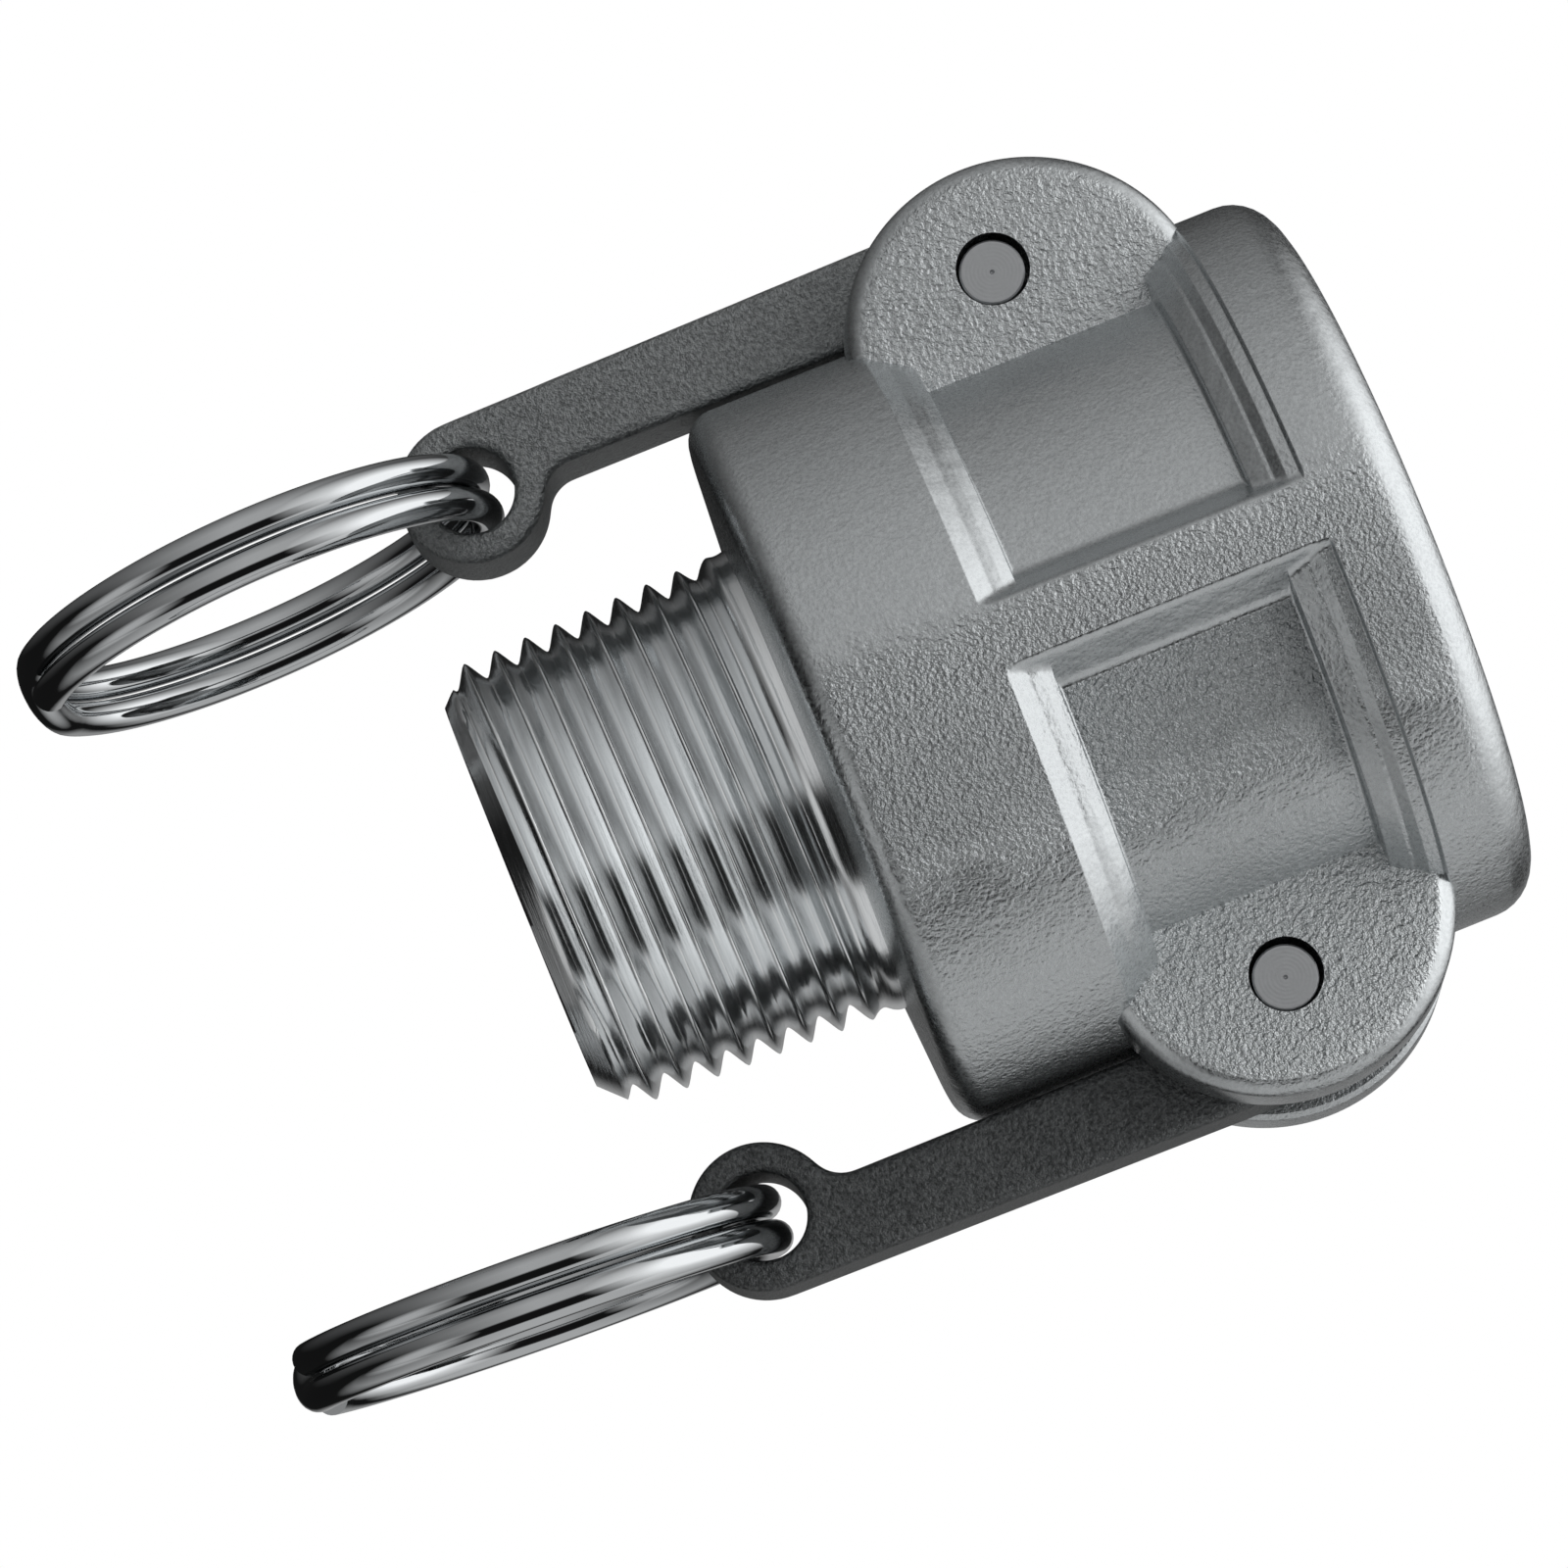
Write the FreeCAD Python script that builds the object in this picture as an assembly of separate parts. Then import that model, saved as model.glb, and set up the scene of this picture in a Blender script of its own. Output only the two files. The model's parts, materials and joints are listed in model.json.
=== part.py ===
import FreeCAD, Part
import math
import os
from FreeCAD import Vector

# Cam and groove coupling: a socket with two cam levers, on a male taper pipe thread, cast in stainless steel.
# Millimetres. The axis is Z, from the thread's free end at Z 0 up to the mouth of the socket.
# Both lever pins lie along Y. The left lever is at -X and the right one at +X, and both are shown closed.

# The adapter that goes into the socket, and the seal under it
adapter_d = 32.1
socket_clearance = 0.2
socket_draft = 0.1
mouth_land_above_window = 0.3
gasket_outer_d = 34.9
gasket_inner_d = 22.2
gasket_thickness = 5.6
gasket_clearance = 0.15

# The male thread, 14 turns to the inch on a 1 in 16 taper, and the bore through it
thread_end_d = 26.03
thread_taper = 1 / 16
thread_depth = 1.45
thread_lead_beyond_root = 0.35
thread_length = 17.4
flow_bore_d = 19.2

# The casting along its axis
floor_thickness = 4.4
groove_height = 9.3
mouth_above_pins = 15.4
shoulder_over_gasket = 0.7
mouth_band = 5.6
bevel_height = 2.45
bevel_crease_height = 1.35
bevel_crease_depth = 0.95

# The casting across its axis
waist_wall = 1.9
band_height = 2.85
shoulder_dome = 0.5
shoulder_corner_r = 1.8
mouth_corner_r = 2.6
corner_steps = 3
mouth_lead_in = 0.8
rib_top_width = 3.5
rib_foot_width = 6.5
rib_step_width = 5.9
rib_step_depth = 1.35

# The ears that carry the pins
ear_thickness = 5.3
ear_outline_r = 10.15
ear_reach = 6.2
ear_rise = 0.5
ear_edge = 1.2

# The pins, pressed into the levers and turning in the ears
pin_d = 3.6
pin_hole_clearance = 0.2
pin_drop = 0.1
pin_from_bore = 4.7
pin_end_chamfer = 0.2

# The cam levers
lever_thickness = 6.0
lever_side_clearance = 0.2
lever_length = 30.8
handle_gap = 0.2
handle_depth = 4.95
handle_depth_at_eye = 4.6
cam_bite = 2.35
hub_clearance = 0.4
cam_window_clearance = 0.7
eye_r = 4.1
eye_hole_d = 5.0
eye_fillet = 2.0
lever_edge = 0.3

# The pull rings, two turns of wire each
ring_od = 28.6
ring_wire_d = 1.9
ring_turn_gap = 0.12
ring_step_deg = 34.0
ring_runs = 28
ring_wire_sides = 10
ring_rise_in_eye = 0.3
ring_lean_deg = 2.5
right_ring_twist_deg = 3.6

# Radii that follow from these
bore_r = adapter_d / 2 + socket_clearance
recess_r = gasket_outer_d / 2 + gasket_clearance
waist_r = bore_r + waist_wall
body_r = waist_r + band_height
flow_r = flow_bore_d / 2
pin_x = bore_r + pin_from_bore
pin_hole_r = pin_d / 2 + pin_hole_clearance

# Heights that follow from these
floor_z = thread_length + floor_thickness
recess_top = floor_z + gasket_thickness + gasket_clearance
hole_z = floor_z + gasket_thickness + groove_height
pin_z = hole_z - pin_drop
body_top = hole_z + mouth_above_pins
shoulder_top = recess_top + shoulder_over_gasket
waist_bottom = shoulder_top + bevel_height
mouth_band_bottom = body_top - mouth_band
waist_top = mouth_band_bottom - bevel_height

# The cam's own sizes
hub_r = pin_from_bore - hub_clearance
cam_reach = pin_from_bore + cam_bite
gap_half = lever_thickness / 2 + lever_side_clearance
ear_half = gap_half + ear_thickness
window_half_height = cam_reach + cam_window_clearance
land_bottom = hole_z + window_half_height + mouth_land_above_window
eye_z = pin_z - lever_length

beyond = 1.0
Z_AXIS = Vector(0, 0, 1)
Y_AXIS = Vector(0, 1, 0)


def crest_r(z):
    """The thread's crest radius at a height."""
    return (thread_end_d + thread_taper * z) / 2


def line(a, b):
    return Part.makeLine(Vector(a[0], 0, a[1]), Vector(b[0], 0, b[1]))


def arc(centre, radius, start_deg, end_deg):
    """An arc in the XZ plane, counted from +X towards +Z."""
    middle_deg = (start_deg + end_deg) / 2
    points = []
    for deg in (start_deg, middle_deg, end_deg):
        a = math.radians(deg)
        points.append(Vector(centre[0] + radius * math.cos(a), 0, centre[1] + radius * math.sin(a)))
    return Part.Arc(*points).toShape()


def stepped_arc(centre, radius, start_deg, end_deg):
    """The same arc as a few equal chords, which keeps the turned corner to as many plain cones."""
    points = []
    for i in range(corner_steps + 1):
        a = math.radians(start_deg + (end_deg - start_deg) * i / corner_steps)
        points.append((centre[0] + radius * math.cos(a), centre[1] + radius * math.sin(a)))
    return [line(a, b) for a, b in zip(points, points[1:])]


def revolved(edges):
    """A closed outline of (radius, height) edges turned about the axis."""
    face = Part.Face(Part.Wire(edges))
    return face.revolve(Vector(0, 0, 0), Z_AXIS, 360)


def plate(edges, half_thickness):
    """A closed outline in the XZ plane made a plate, as thick on each side of Y 0."""
    face = Part.Face(Part.Wire(edges))
    face.translate(Vector(0, -half_thickness, 0))
    return face.extrude(Vector(0, 2 * half_thickness, 0))


def polygon(points):
    """The edges of a closed outline of straight sides."""
    return [line(a, b) for a, b in zip(points, points[1:] + points[:1])]


def block(x0, x1, y_half, z0, z1):
    return Part.makeBox(x1 - x0, 2 * y_half, z1 - z0, Vector(x0, -y_half, z0))


def mirrored(shape):
    """The same piece on the left side."""
    return shape.mirror(Vector(0, 0, 0), Vector(1, 0, 0))


def turned_body():
    """The casting as turned: thread blank, shoulder, waist and mouth band, still solid inside."""
    lead = thread_depth + thread_lead_beyond_root
    collar_r = crest_r(thread_length)
    c = shoulder_corner_r
    dome_z = thread_length + shoulder_dome
    m = mouth_corner_r
    crease_r = body_r - bevel_crease_depth
    crease_z = bevel_crease_height
    edges = [
        line((0, 0), (crest_r(0) - lead, 0)),
        line((crest_r(0) - lead, 0), (crest_r(lead), lead)),
        line((crest_r(lead), lead), (collar_r, thread_length)),
        line((collar_r, thread_length), (body_r - c, dome_z)),
        *stepped_arc((body_r - c, dome_z + c), c, -90, 0),
        line((body_r, dome_z + c), (body_r, shoulder_top)),
        line((body_r, shoulder_top), (crease_r, shoulder_top + crease_z)),
        line((crease_r, shoulder_top + crease_z), (waist_r, waist_bottom)),
        line((waist_r, waist_bottom), (waist_r, waist_top)),
        line((waist_r, waist_top), (crease_r, mouth_band_bottom - crease_z)),
        line((crease_r, mouth_band_bottom - crease_z), (body_r, mouth_band_bottom)),
        line((body_r, mouth_band_bottom), (body_r, body_top - m)),
        *stepped_arc((body_r - m, body_top - m), m, 0, 90),
        line((body_r - m, body_top), (0, body_top)),
        line((0, body_top), (0, 0)),
    ]
    return revolved(edges)


def rib():
    """The rib at -Y, flush with the two bands. Each side is a low slope, then a steep step to the foot."""
    top = rib_top_width / 2
    step = rib_step_width / 2
    foot = rib_foot_width / 2
    step_y = body_r - rib_step_depth
    foot_y = math.sqrt(waist_r ** 2 - foot ** 2)
    inner_y = bore_r + waist_wall / 2
    inner = foot + (foot - step) / (step_y - foot_y) * (foot_y - inner_y)
    outer = top - (step - top) / rib_step_depth * beyond
    side = [(inner, -inner_y), (step, -step_y), (outer, -body_r - beyond)]
    corners = side + [(-x, y) for x, y in reversed(side)]
    points = [Vector(x, y, shoulder_top) for x, y in corners]
    face = Part.Face(Part.makePolygon(points + points[:1]))
    bar = face.extrude(Vector(0, 0, mouth_band_bottom - shoulder_top))
    band = Part.makeCylinder(body_r, mouth_band_bottom - shoulder_top, Vector(0, 0, shoulder_top))
    return bar.common(band)


def ear_block():
    """Both right-hand ears as one lug, its outline broken all round, before the gap for the lever is cut."""
    centre_x = body_r + ear_reach - ear_outline_r
    centre_z = hole_z + ear_rise
    lug = Part.makeCylinder(ear_outline_r, 2 * ear_half, Vector(centre_x, -ear_half, centre_z), Y_AXIS)
    rims = [e for e in lug.Edges if isinstance(e.Curve, Part.Circle)]
    lug = lug.makeChamfer(ear_edge, rims)
    outside = block(bore_r + waist_wall / 2, body_r + ear_reach + beyond, ear_half + beyond, 0, body_top)
    return lug.common(outside)


def lever_gap():
    """The gap between two ears, which goes on through the wall as the cam's window."""
    z0 = hole_z - window_half_height
    z1 = hole_z + window_half_height
    window = block(bore_r - cam_bite, body_r + beyond, gap_half, z0, z1)
    reach = body_r + ear_reach + beyond
    ends = ear_outline_r + beyond
    between = block(body_r + handle_gap / 2, reach, gap_half, hole_z - ends, hole_z + ends)
    return window.fuse(between)


def pin_holes():
    """The hole through all four ears of one side."""
    reach = ear_half + beyond
    return Part.makeCylinder(pin_hole_r, 2 * reach, Vector(pin_x, -reach, hole_z), Y_AXIS)


def inside():
    """All that is open along the axis: flow bore, gasket recess, drafted socket, mouth land and lead-in."""
    lead = mouth_lead_in
    outline = [
        (0, -beyond),
        (flow_r, -beyond),
        (flow_r, floor_z),
        (recess_r, floor_z),
        (recess_r, recess_top),
        (bore_r - socket_draft, recess_top),
        (bore_r, land_bottom),
        (bore_r, body_top - lead),
        (bore_r + lead + beyond, body_top + beyond),
        (0, body_top + beyond),
    ]
    return revolved(polygon(outline))


def coupler_body():
    """The one-piece casting."""
    ears = ear_block()
    front_rib = rib()
    back_rib = front_rib.mirror(Vector(0, 0, 0), Y_AXIS)
    body = turned_body().fuse([front_rib, back_rib, ears, mirrored(ears)])
    gap = lever_gap()
    holes = pin_holes()
    body = body.cut([gap, mirrored(gap), holes, mirrored(holes), inside()])
    return body.removeSplitter()


def gasket():
    """The flat ring seal, lying on the floor of its recess."""
    ring = Part.makeCylinder(gasket_outer_d / 2, gasket_thickness, Vector(0, 0, floor_z))
    hole = Part.makeCylinder(gasket_inner_d / 2, gasket_thickness, Vector(0, 0, floor_z))
    return ring.cut(hole)


def cam_outline():
    """The right lever's head: a lobe towards the socket, and the hub's back running out to the handle."""
    lobe_x = pin_x + hub_r - cam_reach
    outer_x = body_r + handle_gap + handle_depth
    corner_x = outer_x - hub_r
    inner_x = body_r + handle_gap
    return [
        arc((corner_x, pin_z), hub_r, 0, 90),
        line((corner_x, pin_z + hub_r), (lobe_x, pin_z + hub_r)),
        arc((lobe_x, pin_z), hub_r, 90, 270),
        line((lobe_x, pin_z - hub_r), (inner_x, pin_z - hub_r)),
        line((inner_x, pin_z - hub_r), (outer_x, pin_z - hub_r)),
        line((outer_x, pin_z - hub_r), (outer_x, pin_z)),
    ]


def eye_x():
    """The eye's distance from the axis: its rim is flush with the handle's outer edge."""
    return body_r + handle_gap + handle_depth_at_eye - eye_r


def cam_lever():
    """The right lever, closed: cam head, tapered handle, and the eye for the ring."""
    inner_x = body_r + handle_gap
    top_z = pin_z - hub_r
    handle = [
        (inner_x, top_z + beyond),
        (inner_x, eye_z),
        (inner_x + handle_depth_at_eye, eye_z),
        (inner_x + handle_depth, top_z),
        (inner_x + handle_depth, top_z + beyond),
    ]
    half = lever_thickness / 2
    head = plate(cam_outline(), half)
    bar = plate(polygon(handle), half)
    rim = Part.makeCylinder(eye_r, lever_thickness, Vector(eye_x(), -half, eye_z), Y_AXIS)
    lever = head.fuse([bar, rim]).removeSplitter()
    lever = lever.makeFillet(eye_fillet, inner_corner(lever, inner_x))
    hole = Part.makeCylinder(eye_hole_d / 2, lever_thickness, Vector(eye_x(), -half, eye_z), Y_AXIS)
    pin_seat = Part.makeCylinder(pin_d / 2, lever_thickness, Vector(pin_x, -half, pin_z), Y_AXIS)
    lever = lever.cut([hole, pin_seat])
    return lever.makeChamfer(lever_edge, flat_outline(lever, half))


def inner_corner(lever, inner_x):
    """The edge where the eye's rim meets the handle's inner side."""
    corner_z = eye_z + math.sqrt(eye_r ** 2 - (inner_x - eye_x()) ** 2)
    return [e for e in lever.Edges if e.CenterOfMass.distanceToPoint(Vector(inner_x, 0, corner_z)) < 0.01]


def flat_outline(lever, half):
    """The edges round the lever's two flat sides, and round its eye, but not round the pin."""
    found = []
    for e in lever.Edges:
        on_side = abs(abs(e.BoundBox.YMin) - half) < 0.01 and e.BoundBox.YLength < 0.01
        at_pin = e.CenterOfMass.distanceToPoint(Vector(pin_x, e.CenterOfMass.y, pin_z)) < 0.01
        if on_side and not at_pin:
            found.append(e)
    return found


def pivot_pin():
    """The right pin, from one ear's outer face to the other's."""
    r = pin_d / 2
    half = ear_half
    c = pin_end_chamfer
    outline = [(0, -half), (r - c, -half), (r, -half + c), (r, half - c), (r - c, half), (0, half)]
    pin = revolved(polygon(outline))
    pin.rotate(Vector(0, 0, 0), Vector(1, 0, 0), 90)
    pin.translate(Vector(pin_x, 0, pin_z))
    return pin


def ring_point(turn):
    """The middle of the wire after so many turns from the start, on a ring that hangs from Z 0."""
    mean_r = (ring_od - ring_wire_d) / 2
    step = ring_step_deg / 360
    pitch = ring_wire_d + ring_turn_gap
    along = min(max((turn - 1 + step) / step, 0), 1)
    ease = along * along * (3 - 2 * along)
    a = 2 * math.pi * (turn + ring_step_deg / 720 + 0.5)
    return Vector(pitch * (ease - 0.5), mean_r * math.sin(a), mean_r * (math.cos(a) - 1))


def wire_section(centre, along):
    """The wire's round section as a polygon of many sides, square to its path."""
    side = along.cross(Vector(1, 0, 0)).normalize()
    up = along.cross(side).normalize()
    corners = []
    for i in range(ring_wire_sides):
        a = 2 * math.pi * (i + 0.5) / ring_wire_sides
        corners.append(centre + (side * math.cos(a) + up * math.sin(a)) * (ring_wire_d / 2))
    return Part.makePolygon(corners + corners[:1])


def pull_ring(twist_deg):
    """The right split ring: two turns of wire side by side, with the step between them at the bottom."""
    length = 2 - ring_step_deg / 360
    runs = round(ring_runs * length)
    points = [ring_point(length * i / runs) for i in range(runs + 1)]
    path = Part.makePolygon(points)
    ring = path.makePipeShell([wire_section(points[0], points[1] - points[0])], True, False, 1)
    ring.translate(Vector(0, 0, ring_rise_in_eye))
    ring.rotate(Vector(0, 0, 0), Y_AXIS, ring_lean_deg)
    ring.rotate(Vector(0, 0, 0), Z_AXIS, twist_deg)
    ring.translate(Vector(eye_x(), 0, eye_z))
    return ring


def pieces():
    """Every piece by its name."""
    lever = cam_lever()
    pin = pivot_pin()
    return {
        "coupler_body": coupler_body(),
        "gasket": gasket(),
        "cam_lever_left": mirrored(lever),
        "cam_lever_right": lever,
        "pivot_pin_left": mirrored(pin),
        "pivot_pin_right": pin,
        "pull_ring_left": mirrored(pull_ring(0)),
        "pull_ring_right": pull_ring(right_ring_twist_deg),
    }


os.makedirs("parts", exist_ok=True)
for name, shape in pieces().items():
    shape.exportStep(f"parts/{name}.step")
    box = shape.BoundBox
    size = f"{box.XLength:.2f} x {box.YLength:.2f} x {box.ZLength:.2f} mm"
    print(f"{name}: {len(shape.Solids)} solid, {shape.Volume:.1f} mm3, valid {shape.isValid()}, {size}")
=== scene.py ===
# %% [markdown]
# A cam and groove coupling, 3/4 inch size: a cast steel socket with two cam levers and their pull
# rings, on a male taper pipe thread. The construction comes ready made and stays fixed, in metres.
# This script dresses it. Each piece here takes its place from the fixed one, so nothing is fitted
# by eye.

# %% Load the fixed construction
import json
import math
import bmesh
import bpy
import numpy as np
import openvdb
from mathutils import Matrix, Vector


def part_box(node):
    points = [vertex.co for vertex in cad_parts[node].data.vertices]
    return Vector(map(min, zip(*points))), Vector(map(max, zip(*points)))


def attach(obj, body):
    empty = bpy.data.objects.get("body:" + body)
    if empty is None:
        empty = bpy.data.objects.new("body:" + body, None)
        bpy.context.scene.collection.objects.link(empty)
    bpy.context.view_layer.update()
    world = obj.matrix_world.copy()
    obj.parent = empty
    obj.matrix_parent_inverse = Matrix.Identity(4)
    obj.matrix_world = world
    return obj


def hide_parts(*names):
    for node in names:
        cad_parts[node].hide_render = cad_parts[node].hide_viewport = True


MM = 0.001
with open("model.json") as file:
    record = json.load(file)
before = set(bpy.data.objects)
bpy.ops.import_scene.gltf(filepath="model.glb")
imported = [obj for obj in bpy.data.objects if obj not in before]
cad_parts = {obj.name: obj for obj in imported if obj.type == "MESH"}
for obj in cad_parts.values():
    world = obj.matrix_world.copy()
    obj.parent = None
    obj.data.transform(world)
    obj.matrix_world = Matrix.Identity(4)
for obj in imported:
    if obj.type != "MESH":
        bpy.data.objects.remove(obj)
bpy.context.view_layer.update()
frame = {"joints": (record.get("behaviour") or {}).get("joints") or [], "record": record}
joints = {joint["name"]: joint for joint in frame["joints"]}
mounts = {mount["name"]: mount for mount in frame["record"]["mounts"]}

# %% [markdown]
# Most sizes can be read from the fixed pieces: where a pin is, how far out the ears reach, how thick
# a lever is. They are turned into millimetres here, because that is how such a coupling is drawn.
# What can't be read from a box, such as a slope or a corner, is written down as a size of its own
# where it is first needed.

# %% Sizes read from the frame


def box_mm(node):
    """A fixed node's lowest and highest corner in millimetres."""
    low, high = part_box(node)
    return low / MM, high / MM


body_high = box_mm("coupler_body")[1]
lever_low, lever_high = box_mm("cam_lever_right")
pin_low, pin_high = box_mm("pivot_pin_right")
gasket_low, gasket_high = box_mm("gasket")
pin_x = joints["right_lever_hinge"]["pos_m"][0] / MM
pin_z = joints["right_lever_hinge"]["pos_m"][2] / MM
eye_x = joints["right_ring_swing"]["pos_m"][0] / MM
eye_z = joints["right_ring_swing"]["pos_m"][2] / MM
bore_r = mounts["adapter_socket"]["dims"]["r_mm"]
body_r = body_high.y
body_top = body_high.z
ear_tip_x = body_high.x
ear_half = pin_high.y
pin_r = (pin_high.x - pin_low.x) / 2
lever_half = lever_high.y
lever_outer_x = lever_high.x
cam_inner_x = lever_low.x
print(f"body {2 * body_r:.1f} mm across and {body_top:.1f} mm long, socket {2 * bore_r:.1f} mm")

# %% [markdown]
# The camera first. The photograph looks at the coupling from the side, almost square to the axis,
# with the camera rolled so that the socket's mouth is at the upper right. The target, the distance
# and the lens were worked out from the thread's pitch and from how far the two sides of each ear
# stand apart in the photograph.

# %% Camera
camera_azimuth = math.radians(9.424)
camera_elevation = math.radians(-1.39)
camera_roll = math.radians(21.907)
camera_distance = 442.2
camera_lens = 184.3
target_up_axis = 15.764
target_aside = 0.381

axis = Vector((0, 0, 1))
outward = Vector((math.sin(camera_azimuth), -math.cos(camera_azimuth), 0))
aside = Vector((-math.cos(camera_azimuth), -math.sin(camera_azimuth), 0))
camera_back = outward * math.cos(camera_elevation) + axis * math.sin(camera_elevation)
level_right = axis * math.cos(camera_elevation) - outward * math.sin(camera_elevation)
camera_x = level_right * math.cos(camera_roll) - aside * math.sin(camera_roll)
camera_y = level_right * math.sin(camera_roll) + aside * math.cos(camera_roll)
target = axis * target_up_axis + aside * target_aside
location = (target + camera_back * camera_distance) * MM



def linked(name, data):
    """A new object, put in the scene."""
    obj = bpy.data.objects.new(name, data)
    bpy.context.scene.collection.objects.link(obj)
    return obj


camera_data = bpy.data.cameras.new("camera")
camera_data.lens = camera_lens
camera_data.clip_start = 0.01
camera = linked("camera", camera_data)
turn = Matrix((camera_x, camera_y, camera_back)).transposed().to_4x4()
camera.matrix_world = Matrix.Translation(location) @ turn
bpy.context.scene.camera = camera
print("camera at", [round(c, 4) for c in location])

# %% [markdown]
# Every finish is a small tree of shader nodes. These helpers add one node and wire it up, so that
# each finish below reads as a short list of what the surface is made of.

# %% Node helpers


def connect(tree, value, socket):
    """Links an output to an input, or sets the input to a plain value."""
    if isinstance(value, bpy.types.NodeSocket):
        tree.links.new(value, socket)
    else:
        socket.default_value = value


def add(tree, kind, links, settings=()):
    """One node, with its own settings, and with its inputs linked or set by name."""
    node = tree.nodes.new(kind)
    for key, value in dict(settings).items():
        setattr(node, key, value)
    for key, value in links.items():
        connect(tree, value, node.inputs[key])
    return node


def calc(tree, operation, *values):
    """One Math node."""
    return add(tree, "ShaderNodeMath", dict(enumerate(values)), {"operation": operation}).outputs[0]


def product(tree, *values):
    """Several values multiplied together."""
    total = values[0]
    for value in values[1:]:
        total = calc(tree, "MULTIPLY", total, value)
    return total


def combined(tree, x_value, y_value, z_value):
    """A vector from its three parts."""
    return add(tree, "ShaderNodeCombineXYZ", {"X": x_value, "Y": y_value, "Z": z_value}).outputs[0]


def split(tree, vector):
    """The three parts of a vector, by name."""
    return add(tree, "ShaderNodeSeparateXYZ", {0: vector}).outputs


def distance(tree, a, b):
    """How far a point of a plane is from the plane's origin."""
    squares = [calc(tree, "POWER", value, 2.0) for value in (a, b)]
    return calc(tree, "SQRT", calc(tree, "ADD", *squares))


def between(tree, value, from_low, from_high, to_low, to_high, interpolation="LINEAR"):
    """A value carried from one range to another, and held inside it."""
    links = {"Value": value, "From Min": from_low, "From Max": from_high}
    links.update({"To Min": to_low, "To Max": to_high})
    return add(tree, "ShaderNodeMapRange", links, {"interpolation_type": interpolation}).outputs["Result"]


# %% [markdown]
# All finishes start from the same shader. Their patterns are noise and not pictures, because noise
# has no seam and no end. It reads Object coordinates, which stay with the piece when it turns.

# %% Finish helpers


def new_finish(name, roughness, metallic=1.0):
    """A material with its Principled shader, and its object coordinates."""
    material = bpy.data.materials.new(name)
    material.use_nodes = True
    tree = material.node_tree
    shader = tree.nodes["Principled BSDF"]
    shader.inputs["Metallic"].default_value = metallic
    shader.inputs["Roughness"].default_value = roughness
    place = tree.nodes.new("ShaderNodeTexCoord").outputs["Object"]
    return material, tree, shader, place


def noise(tree, place, size_mm, detail=2.0, roughness=0.5):
    """Soft noise whose patches are about so many millimetres across."""
    links = {"Vector": place, "Scale": 1 / (size_mm * MM), "Detail": detail, "Roughness": roughness}
    return add(tree, "ShaderNodeTexNoise", links).outputs["Fac"]


def shade(tree, value, dark, light):
    """A colour between two others, of which the first may be another node's."""
    if isinstance(dark, tuple):
        dark = (*dark, 1)
    links = {"Factor": value, "A": dark, "B": (*light, 1)}
    return add(tree, "ShaderNodeMix", links, {"data_type": "RGBA"}).outputs["Result"]


def bump(tree, shader, *layers):
    """Bump from several heights, each with its depth in millimetres and its strength."""
    normal = None
    for height, depth_mm, strength in layers:
        links = {"Height": height, "Distance": depth_mm * MM, "Strength": strength}
        node = add(tree, "ShaderNodeBump", links)
        if normal is not None:
            tree.links.new(normal, node.inputs["Normal"])
        normal = node.outputs["Normal"]
    tree.links.new(normal, shader.inputs["Normal"])


# %% [markdown]
# The casting is investment cast stainless steel, blasted with shot until it has a satin grain. Close
# up the grain is a field of tiny dents about a quarter of a millimetre across that catch the light,
# over a fainter and wider unevenness of the cast skin. The same fine noise also moves the roughness
# and the colour a little.
#
# The grain isn't the same everywhere. In the photograph it is coarse and dull in a patch beside the
# rib, which has an uneven border, and coarse on the flat faces of the ears, of which the right pair
# is lighter. On slopes and on the sides of the ribs it stays fine.

# %% Finish of the casting
cast_steel, tree, shader, place = new_finish("cast_steel", 0.3)
grain = noise(tree, place, 0.2, 2.0, 0.6)
skin = noise(tree, place, 1.2, 2.0, 0.5)
dents = add(tree, "ShaderNodeTexVoronoi", {"Vector": place, "Scale": 1 / (0.34 * MM)})
spot = split(tree, place)
facing = split(tree, place.node.outputs["Normal"])
beside, in_front = (calc(tree, "ABSOLUTE", spot[name]) for name in "XY")
sideways, forwards, upwards = (calc(tree, "ABSOLUTE", facing[name]) for name in "XYZ")

border = calc(tree, "MULTIPLY", noise(tree, place, 3.0), 4 * MM)
from_patch = calc(tree, "ABSOLUTE", calc(tree, "SUBTRACT", spot["X"], 4.5 * MM))
patch = between(tree, calc(tree, "ADD", from_patch, border), 6 * MM, 9.5 * MM, 1.0, 0.25)
on_ear = product(
    tree,
    between(tree, beside, 15.5 * MM, 16 * MM, 0.0, 1.0),
    between(tree, in_front, 8.2 * MM, 8.4 * MM, 0.0, 1.0),
    between(tree, forwards, 0.7, 0.9, 0.0, 1.0),
)
on_rib_side = product(
    tree,
    between(tree, beside, 3.4 * MM, 3.6 * MM, 0.9, 0.0),
    between(tree, sideways, 0.3, 0.5, 0.0, 1.0),
)
coarse = product(
    tree,
    calc(tree, "MAXIMUM", patch, on_ear),
    between(tree, upwards, 0.2, 0.4, 1.0, 0.15),
    calc(tree, "SUBTRACT", 1.0, on_rib_side),
    between(tree, spot["X"], -16 * MM, 16 * MM, 0.45, 1.0),
)

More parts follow.
